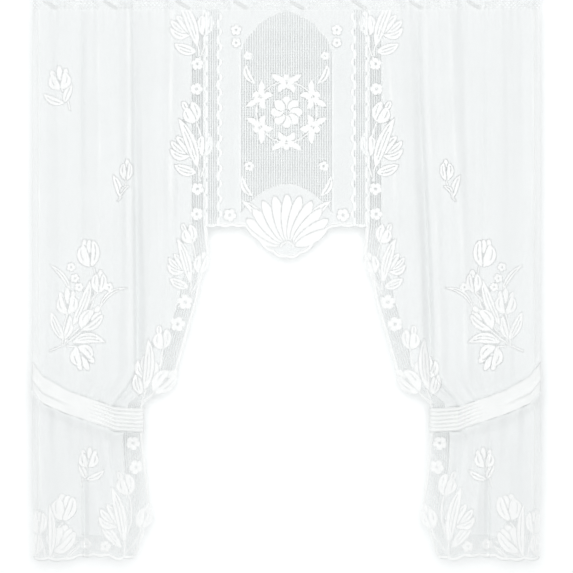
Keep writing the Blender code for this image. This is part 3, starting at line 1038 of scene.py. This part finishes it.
def makePanelEdging(side, name, motif):
    kit = newKit()
    drops = np.arange(seamDrop + 0.004, footDrop - 0.002, scallop["step"])
    shown = freeOf(motif, *panelCell(edgePlace(drops), drops))
    for run in np.split(np.arange(len(drops)), np.nonzero(np.diff(shown.astype(int)))[0] + 1):
        if not shown[run[0]] or len(run) < 4:
            continue
        spots = drops[run]
        squeeze = drawnIn(spots)
        centre = np.stack((edgePlace(spots), spots), axis=-1)
        sideways = np.stack((np.ones(len(spots)), np.zeros(len(spots))), axis=-1)
        full = eased(spots, (0.68, 0.74), (1.0, 0.0))
        inner = (0.0012 + full * scallop["inner"]) * squeeze
        bulge = (0.0030 + full * scallop["bulge"]) * squeeze**2
        edgeBand(kit, centre, sideways, spots, inner, scallop["outer"], scallop["pitch"], bulge)
    # scallops along the foot
    away = np.arange(0.004, edgePlace(footDrop) - 0.002, scallop["step"])
    centre = np.stack((away, np.full(len(away), footDrop - 0.003)), axis=-1)
    sideways = np.stack((np.zeros(len(away)), np.ones(len(away))), axis=-1)
    edgeBand(kit, centre, sideways, away, 0.0045, 0.001, 0.044, 0.007)
    points = np.concatenate(kit["points"])
    hung = onCloth(side * (halfWidth - points[:, 0]), points[:, 1], points[:, 2])
    faces = [f[::-1] for f in kit["faces"]] if side < 0 else kit["faces"]
    mesh = smoothMesh(name + "Edging", hung, faces, flowerFinish)
    # fine cords: the side hem, the inner side of the border filet
    lines = newLines()
    drops = np.arange(seamDrop, footDrop, 0.004)
    away = np.full(drops.shape, panel["hemWidth"])
    addLine(lines, onCloth(side * (halfWidth - away), drops, 0.0006))
    wave = 0.0048 * np.abs(np.sin(np.pi * drops / scallop["pitch"]))
    away = edgePlace(drops) - (filetSides(drops)[1] + wave) * drawnIn(drops)
    addLine(lines, onCloth(side * (halfWidth - away), drops, 0.0005), 0.9)
    away = edgePlace(drops) - (filetSides(drops)[0] - 0.0005) * drawnIn(drops)
    shown = (drops > 0.74) & freeOf(motif, *panelCell(away, drops))
    addLine(lines, onCloth(side * (halfWidth - away), drops, 0.0005), 1.0, shown)
    cords = threadMesh(lines, 0.0010, 6, flowerFinish)
    return joinPiece(name + "Edging", [mesh, cords], "lace_body")


for side, name in ((-1, "leftPanel"), (1, "rightPanel")):
    makePanel(side, name)

# valance
valance = {
    "halfWidth": 0.196,
    "cell": 0.005,
    "pillarPitch": 0.0070,
    "weftPitch": 0.0047,
    "joinReach": 0.237,  # the open strips that join the valance to the panels
    "flat": (0.47, 0.72),
    "archFoot": 0.585,
    "archReach": 0.134,  # half width of the open arch at its widest
    "gap": 2.2,  # gaps narrower than twice this many cells are left open
    "pillarRadius": 0.0021,
    "weftRadius": 0.0013,
}
arch = (  # drop, half width of the open arch
    (0.082, 0.012), (0.099, 0.045), (0.117, 0.079), (0.137, 0.092), (0.163, 0.117), (0.204, 0.134),
    (0.700, 0.134),
)
valanceRows = round((valanceHem - seamDrop) / valance["cell"])
valanceColumns = round(2 * valance["halfWidth"] / valance["cell"])


def hemAt(x):
    across = np.abs(np.asarray(x) - bib["centre"]) / bib["halfWidth"]
    return valanceHem + bib["drop"] * np.clip(1.0 - across * across, 0.0, 1.0) ** bib["roundness"]


def valancePlace(rows, columns):
    x = valance["halfWidth"] * (2.0 * np.asarray(columns) / (3.0 * valanceColumns) - 1.0)
    fall = np.asarray(rows) / (3.0 * valanceRows)
    return x, seamDrop + fall * (hemAt(x) - seamDrop)


def valanceCell(x, drop):
    columns = (x / valance["halfWidth"] + 1.0) / 2.0 * 3.0 * valanceColumns
    rows = (drop - seamDrop) / (hemAt(x) - seamDrop) * 3.0 * valanceRows
    return np.floor(rows).astype(int), np.floor(columns).astype(int)


def vineAt(drop):
    # the wandering cord at each side of the valance
    wave = np.sin(2.0 * np.pi * np.asarray(drop) / scallop["pitch"])
    return valance["halfWidth"] - 0.0015 - 0.0052 * wave


def archFootAt(x):
    # the open arch ends on the shell that fills the foot of the valance
    return valance["archFoot"] + 0.085 * np.clip(np.abs(x) / valance["archReach"], 0, 1) ** 2


def inArch(x, drop):
    return (np.abs(x) < column(arch, drop)) & (drop > arch[0][0]) & (drop < archFootAt(x))


wreath = {"centre": (0.0, 0.375), "radius": 0.088, "leaves": 12, "blossoms": 6}


def addRing(design, centre, radius, width, first, last, count):
    # an arc made of short lobes
    turns = np.radians(np.linspace(first, last, count + 1))
    for a, b in zip(turns[:-1], turns[1:]):
        start, end = centre + radius * pointing(a - 0.03), centre + radius * pointing(b + 0.03)
        addBlade(design, start, end, width, 0.0, "stem")


def addWreath(design):
    # a plain ring of leaves and blossoms round a small rosette
    centre, radius = np.array(wreath["centre"]), wreath["radius"]
    for k in range(wreath["leaves"]):
        angle = 2.0 * math.pi * (k + 0.5) / wreath["leaves"]
        turn = -1.0 if k % 2 else 1.0
        for reach in (1.34, 0.70):
            root = centre + radius * pointing(angle - 0.16 * turn)
            tip = centre + reach * radius * pointing(angle + 0.12 * turn)
            addBlade(design, root, tip, 0.0170, 0.0, "leaf")
    addRing(design, centre, radius, 0.0042, 0, 360, 24)
    for k in range(wreath["blossoms"]):
        angle = 2.0 * math.pi * k / wreath["blossoms"]
        addBlossom(design, centre + radius * pointing(angle), 0.0215, angle)
    for k in range(8):  # the rosette
        way = pointing(2.0 * math.pi * k / 8)
        addBlade(design, centre + 0.009 * way, centre + 0.046 * way, 0.027)


shell = {"foot": (0.002, 0.772), "ribs": 11, "spread": 68.0, "length": 0.158}


def addShell(design):
    # a fan of ribs rising from the foot of the bib
    foot = np.array(shell["foot"])
    for side in (-1, 1):  # scroll leaves and blossoms on each side
        addLeaf(design, (side * 0.062, 0.738), (side * 0.131, 0.632), 0.028, -0.14 * side)
        addLeaf(design, (side * 0.100, 0.618), (side * 0.128, 0.560), 0.020, 0.14 * side)
        addLeaf(design, (side * 0.092, 0.292), (side * 0.118, 0.236), 0.020, 0.14 * side)
        for x, drop, radius, turn in (
            (0.108, 0.532, 0.0140, 0.2), (0.112, 0.212, 0.0125, 0.9), (0.164, 0.674, 0.0185, 0.5),
            (0.146, 0.137, 0.0155, 0.1), (0.146, 0.174, 0.0135, 0.7),
        ):
            addBlossom(design, np.array((side * x, drop)), radius, turn)
    for k in range(shell["ribs"]):
        share = 2.0 * k / (shell["ribs"] - 1) - 1.0
        way = pointing(math.radians(shell["spread"] * share))
        length = shell["length"] * (1.0 - 0.12 * share * share)
        addBlade(design, foot + 0.026 * way, foot + length * way, 0.0330)
    addRing(design, foot, 0.020, 0.0052, -75, 75, 6)


def makeValance():
    shape = (3 * valanceRows, 3 * valanceColumns)
    design = []
    addWreath(design)
    addShell(design)
    rows, columns = cellMiddles(shape)
    x, drop = valancePlace(rows, columns)
    owner, _, parted = paintDesign(design, x, drop)
    motif = owner > 0
    ringed = widen(motif, panel["moat"])
    eyelets = np.zeros(shape, bool)
    for k in range(13):  # a row of eyelets along the bib
        angle = math.radians(-66.0 + 11.0 * k)
        ex, ey = shell["foot"][0] + 0.118 * 0.86 * math.sin(angle), 0.690 + 0.062 * math.cos(angle)
        eyelets |= (x - ex) ** 2 + (drop - ey) ** 2 < 0.0024**2
    eyelets &= drop > 0.70
    opened = ((ringed & ~stitchBars(shape)) | narrowGaps(motif, valance["gap"]) | parted | eyelets
              | inArch(x, drop) | (np.abs(x) > vineAt(drop))) & ~motif
    opened[:2] = False
    rows, columns = gridPoints(shape)
    ax, low = valancePlace(rows, columns)
    owner, depth, _ = paintDesign(design, ax, low)
    foot = np.clip((low - hemAt(ax) + 0.012) / 0.004, 0, 1)
    top = 0.35 * np.clip((seamDrop + 0.006 - low) / 0.004, 0, 1)
    rim = 0.5 * np.clip((0.004 - np.abs(np.abs(ax) - column(arch, low) - 0.002)) / 0.003, 0, 1)
    near = np.maximum.reduce((figureCloseness(owner, depth, motif), foot, top, rim))
    sheet = latticeSheet("valance", opened, motif, False, ax, low, figureLift(owner, depth), near,
                         "lace_body")
    filetPiece = makeValanceFilet(motif)
    edging = makeValanceEdging()
    print("valance", len(sheet.data.polygons), "cells")


def makeValanceFilet(motif):
    pillars, wefts = newLines(), newLines()
    drops = np.arange(seamDrop + 0.002, archFootAt(valance["archReach"]) + 0.01, valance["weftPitch"])
    across = np.arange(-0.1330, 0.1335, valance["pillarPitch"])
    for x in across:
        there = np.full(drops.shape, x)
        show = inArch(there * 0.985, drops - 0.002) | inArch(there * 0.985, drops + 0.004)
        addLine(pillars, onCloth(there, drops), 1.0, show & freeOf(motif, *valanceCell(there, drops)))
    fine = np.arange(-0.1365, 0.1370, valance["pillarPitch"] / 2)
    for drop in drops:
        low = np.full(fine.shape, drop)
        show = inArch(fine * 0.975, low)
        addLine(wefts, onCloth(fine, low), 1.0, show & freeOf(motif, *valanceCell(fine, low)))
    # the open strips between the valance and the panels
    lows = np.arange(seamDrop, valanceHem + 0.001, valance["weftPitch"])
    for side in (-1, 1):
        for x in np.arange(valance["halfWidth"] - 0.002, valance["joinReach"], 0.0068):
            addLine(pillars, onCloth(np.full(lows.shape, side * x), lows), 1.0)
        fine = side * np.arange(valance["halfWidth"] - 0.002, valance["joinReach"], 0.0034)
        for drop in lows:
            addLine(wefts, onCloth(fine, np.full(fine.shape, drop)))
    meshes = [threadMesh(pillars, valance["pillarRadius"], 6, filetFinish),
              threadMesh(wefts, valance["weftRadius"], 4, filetFinish)]
    return joinPiece("valanceFilet", meshes, "lace_body")


def makeValanceEdging():
    kit = newKit()
    drops = np.arange(seamDrop + 0.006, valanceHem - 0.001, scallop["step"])
    for side in (-1, 1):
        centre = np.stack((side * vineAt(drops), drops), axis=-1)
        sideways = np.stack((np.full(len(drops), float(side)), np.zeros(len(drops))), axis=-1)
        addTube(kit, centre, sideways, 0.0048 + 0.0008 * np.sin(drops * 71.0), 0.0007, 0.0002)
    x = np.arange(-valance["joinReach"], valance["joinReach"], scallop["step"])
    centre = np.stack((x, hemAt(x) - 0.003), axis=-1)
    tangent = np.gradient(centre, axis=0)
    tangent /= np.linalg.norm(tangent, axis=1)[:, None]
    sideways = np.stack((-tangent[:, 1], tangent[:, 0]), axis=-1)
    edgeBand(kit, centre, sideways, x, 0.0045, 0.0012, 0.0395, 0.0060)
    points = np.concatenate(kit["points"])
    hung = onCloth(points[:, 0], points[:, 1], points[:, 2])
    mesh = smoothMesh("valanceEdging", hung, kit["faces"], flowerFinish)
    lines = newLines()
    for side in (-1, 1):  # the cord round the arch
        rim = np.arange(arch[0][0], archFootAt(valance["archReach"]), 0.003)
        ripple = 0.0026 * np.abs(np.sin(np.pi * rim / 0.022)) * (rim < 0.22)
        addLine(lines, onCloth(side * (column(arch, rim) + 0.0015 + ripple), rim, 0.0004), 0.9)
    rim = np.arange(-0.134, 0.1341, 0.004)
    addLine(lines, onCloth(rim, archFootAt(rim), 0.0006), 1.0)
    cords = threadMesh(lines, 0.0011, 6, flowerFinish)
    return joinPiece("valanceEdging", [mesh, cords], "lace_body")


makeValance()

# heading
heading = {
    "cell": 0.005,
    "slotTop": 0.030,
    "slotFoot": 0.054,
    "slots": (  # left and right end of each slot, from the left side edge
        (0.099, 0.180), (0.290, 0.392), (0.473, 0.563), (0.647, 0.729),
        (0.812, 0.899), (0.977, 1.064), (1.151, 1.238), (1.322, 1.409),
    ),
    # middles of the slanted openwork bars
    "ladders": (0.051, 0.224, 0.434, 0.602, 0.766, 0.946, 1.110, 1.278),
    "ladderLength": 0.050,
    "ladderWidth": 0.014,
    "ladderSlope": 0.60,
    "ladderDrop": 0.0640,
    "eyeletPitch": 0.0116,
    "eyelet": 0.0026,
    "flat": (1.50, 0.08),
}


def makeHeading():
    rows, columns = round(seamDrop / heading["cell"]), round(2 * halfWidth / heading["cell"])
    shape = (3 * rows, 3 * columns)

    def place(r, c):
        across = halfWidth * (2.0 * np.asarray(c) / shape[1] - 1.0)
        return across, 0.0797 * np.asarray(r) / shape[0] + 0.0001

    r, c = cellMiddles(shape)
    x, drop = place(r, c)
    away = x + halfWidth
    opened = np.zeros(shape, bool)
    half = (heading["slotFoot"] - heading["slotTop"]) / 2
    middle = (heading["slotFoot"] + heading["slotTop"]) / 2
    lines, ladder = newLines(), newLines()
    for left, right in heading["slots"]:
        beside = np.abs(away - (left + right) / 2) - ((right - left) / 2 - 0.006)
        short = np.clip(beside, 0, None) / 0.006
        tall = np.abs(drop - middle) / half
        opened |= (short**4 + tall**4) < 1.0
        opened |= (away - right + 0.006) ** 2 + (1.2 * (drop - 0.0535)) ** 2 < 0.0068**2
        turn = np.linspace(0, 2 * np.pi, 121)
        over, up = np.cos(turn), np.sin(turn)
        rimX = (left + right) / 2 + (right - left) / 2 * np.sign(over) * np.abs(over) ** 0.18
        rimY = middle + (half + 0.0004) * np.sign(up) * np.abs(up) ** 0.5
        addLine(lines, onCloth(rimX - halfWidth, rimY, 0.0003), 1.0)
    for level, shift in ((0.0595, 0.0), (0.0660, 0.5), (0.0725, 0.0)):  # small eyelets below the slots
        step = (away / heading["eyeletPitch"] + shift + 0.5) % 1.0 - 0.5
        opened |= (step * heading["eyeletPitch"]) ** 2 + (drop - level) ** 2 < heading["eyelet"] ** 2
    slope, ladderDrop = heading["ladderSlope"], heading["ladderDrop"]
    for centre in heading["ladders"]:
        clear = np.abs(away - centre) < heading["ladderLength"] / 2 + 0.004
        opened &= ~(clear & (drop > 0.0555))
        along = away - centre
        level = ladderDrop + slope * along
        inBar = (np.abs(along) < heading["ladderLength"] / 2 * 0.9) & (drop > 0.052) & (drop < 0.0785)
        opened |= inBar & (np.abs(drop - level) < heading["ladderWidth"] / 2)
        run = np.linspace(-0.5, 0.5, 11) * heading["ladderLength"] * 1.04
        for offset in (-0.52, 0.0, 0.52):
            low = np.clip(ladderDrop + slope * run + offset * heading["ladderWidth"], 0.050, 0.0795)
            addLine(ladder, onCloth(run + centre - halfWidth, low, 0.0003), 1.0 if offset else 0.8)
        for k in run[1:-1]:
            low = ladderDrop + slope * k + np.linspace(-0.5, 0.5, 4) * heading["ladderWidth"]
            addLine(ladder, onCloth(np.full(4, k + centre - halfWidth), np.clip(low, 0.050, 0.0795)), 0.8)
        # small arcs beside each bar
        for shift, size in ((0.036, 0.013), (0.058, 0.011), (0.080, 0.013)):
            bowX = np.linspace(-1, 1, 11)
            low = 0.0745 - 0.010 * (1 - bowX**2)
            spot = np.clip(centre + shift + bowX * size, 0.002, 2 * halfWidth - 0.002) - halfWidth
            addLine(lines, onCloth(spot, low, 0.0006), 1.0)
    spot = np.linspace(-halfWidth + 0.001, halfWidth - 0.001, 400)
    addLine(lines, onCloth(spot, np.full(400, 0.0006), 0.0004), 1.0)

    r, c = gridPoints(shape)
    x, drop = place(r, c)
    near = 0.15 + 0.35 * (drop < 0.024)
    tape = latticeSheet("headingTape", opened, opened, False, x, drop, 0.0 * x, near,
                        "heading_strip")
    meshes = [threadMesh(lines, 0.0010, 6, flowerFinish), threadMesh(ladder, 0.0008, 6, flowerFinish)]
    cords = joinPiece("headingCords", meshes, "heading_strip")
    print("heading", len(tape.data.polygons), "cells")


makeHeading()

# tie bands
tie = {
    "clearance": 0.0009,
    "front": 0.0135,
    "back": 0.0115,
    "squareness": 5.0,
    "thickness": 0.0016,
    "pleats": 6,
    "pleatDepth": 0.0078,
    "stations": 220,
    "rows": 72,
}


def tieLoop(outward, turn):
    # distance from the side edge and y of the band's path round the panel
    reach = tieEdges[-1][0]
    halfLength = reach / 2 + tie["clearance"] + outward
    halfDepth = (tie["front"] + tie["back"]) / 2 + outward
    power = 2.0 / tie["squareness"]
    across = np.sign(np.cos(turn)) * np.abs(np.cos(turn)) ** power
    through = np.sign(np.sin(turn)) * np.abs(np.sin(turn)) ** power
    return reach / 2 + halfLength * across, (tie["back"] - tie["front"]) / 2 + halfDepth * through


def evenTurns(count):
    # turns at even steps along the band
    turn = np.linspace(0, 2 * np.pi, 8001)
    place, y = tieLoop(0.0, turn)
    length = np.concatenate(([0], np.cumsum(np.hypot(np.diff(place), np.diff(y)))))
    return np.interp(np.linspace(0, length[-1], count + 1)[:-1], length, turn)


def makeTie(side, name):
    turn = evenTurns(tie["stations"])
    share = np.linspace(0, 1, tie["rows"] + 1)
    rings = []
    lines = newLines()
    for outer in (1.0, 0.0):
        place, level = tieLoop(0.0, turn)
        flatness = np.clip(np.abs(level + 0.001) / 0.0115, 0.0, 1.0) ** 3
        gathered = eased(place, (0.150, 0.250), (0.0, 1.0)) * flatness
        outerFold = 0.7 * swell(place - 0.050, 0.045)
        ridge = np.abs(np.sin(np.pi * tie["pleats"] * share))[None, :] ** 0.60 * gathered[:, None]
        ridge += outerFold[:, None] * np.exp(-(((share - 0.55) / 0.09) ** 2))[None, :]
        uneven = 0.0005 * np.sin(place * 61.0)[:, None] * np.sin(share * 9.0 + 1.0)[None, :]
        outward = tie["pleatDepth"] * ridge * (0.45 + 0.55 * outer)
        outward = outward + uneven * outer + tie["thickness"] * outer
        away, y = tieLoop(outward, turn[:, None])
        bend = (0.0022 * np.sin(place * 23.0 + 0.6) * gathered)[:, None] * np.sin(np.pi * share)[None, :]
        upper = column(tieEdges, place)[:, None]
        lower = column(tieEdges, place, 2)[:, None]
        low = upper + (lower - upper) * share[None, :] + bend
        rings.append(np.stack((side * (halfWidth - away), y + 0 * low, -low), axis=-1))
        if outer:
            for k in (0, -1):
                edge = rings[0][:, k]
                addLine(lines, np.concatenate((edge, edge[:1])), 1.0)
    stations, across = tie["stations"], tie["rows"] + 1
    points = np.concatenate([ring.reshape(-1, 3) for ring in rings])
    faces = []
    shift = stations * across
    for s in range(stations):
        n = (s + 1) % stations
        for k in range(across - 1):
            a, b = s * across + k, n * across + k
            faces.append((a, b, b + 1, a + 1))
            faces.append((shift + a, shift + a + 1, shift + b + 1, shift + b))
        for k in (0, across - 1):
            a, b = s * across + k, n * across + k
            faces.append((a, shift + a, shift + b, b) if k == 0 else (b, shift + b, shift + a, a))
    if side < 0:
        faces = [f[::-1] for f in faces]
    node = "tie_left" if side < 0 else "tie_right"
    band = finishPiece(name, points, faces, tieFinish, node)
    cords = joinPiece(name + "Cords", [threadMesh(lines, 0.0010, 6, tieFinish)], node)


makeTie(-1, "leftTie")
makeTie(1, "rightTie")

# room
room = {"wall": 0.058, "floor": -2.15, "glow": 0.108, "key": 90.5, "fill": 0.567}


def stagePlane(name, corners, material):
    mesh = bpy.data.meshes.new(name)
    mesh.from_pydata(corners, [], [(0, 1, 2, 3)])
    mesh.materials.append(material)
    plane = inScene(name, mesh)


def wallFinish():
    # a pale wall that is seen from the room only
    material, shader = newFinish("pale_wall", (0.942, 0.952, 0.952), 0.9, 0.0)
    nodes, links = material.node_tree.nodes, material.node_tree.links
    shader.inputs["Emission Color"].default_value = (0.985, 1.0, 1.0, 1.0)
    shader.inputs["Emission Strength"].default_value = room["glow"]
    clear, mix = nodes.new("ShaderNodeBsdfTransparent"), nodes.new("ShaderNodeMixShader")
    geometry = nodes.new("ShaderNodeNewGeometry")
    links.new(geometry.outputs["Backfacing"], mix.inputs[0])
    links.new(shader.outputs[0], mix.inputs[1])
    links.new(clear.outputs[0], mix.inputs[2])
    links.new(mix.outputs[0], nodes["Material Output"].inputs["Surface"])
    return material


wide, high = 4.0, 2.0
wall, ground = room["wall"], room["floor"]
wallCorners = [(-wide, wall, ground), (wide, wall, ground), (wide, wall, high), (-wide, wall, high)]
stagePlane("wall", wallCorners, wallFinish())
floorFinish, _ = newFinish("pale_floor", (0.66, 0.66, 0.66), 0.9, 0.0)
floorCorners = [(-wide, -5.0, ground), (wide, -5.0, ground), (wide, 4.0, ground), (-wide, 4.0, ground)]
stagePlane("floor", floorCorners, floorFinish)
print("room ready")


def softLight(name, place, target, size, energy):
    lamp = bpy.data.lights.new(name, "AREA")
    lamp.size = size
    lamp.energy = energy
    light = bpy.data.objects.new(name, lamp)
    light.location = place
    light.rotation_euler = (Vector(target) - Vector(place)).to_track_quat("-Z", "Y").to_euler()
    bpy.context.scene.collection.objects.link(light)


middle = (cadBox[0] + cadBox[1]) / 2
softLight("key", (-0.05, -3.8, -0.25), middle, 3.4, room["key"])
world = bpy.data.worlds.new("studio")
world.use_nodes = True
sky = world.node_tree.nodes["Background"]
sky.inputs["Color"].default_value = (0.972, 0.986, 0.990, 1.0)
sky.inputs["Strength"].default_value = room["fill"]
bpy.context.scene.world = world
bpy.context.scene.view_settings.view_transform = "Standard"

view = {"distance": 6.0, "drop": 0.8809, "across": 1.6617}
camera = bpy.data.objects.new("camera", bpy.data.cameras.new("camera"))
camera.location = (0.0, -view["distance"], -view["drop"])
camera.rotation_euler = (math.radians(90), 0.0, 0.0)
camera.data.lens = camera.data.sensor_width * view["distance"] / view["across"]
bpy.context.scene.collection.objects.link(camera)
bpy.context.scene.camera = camera

bpy.context.view_layer.update()
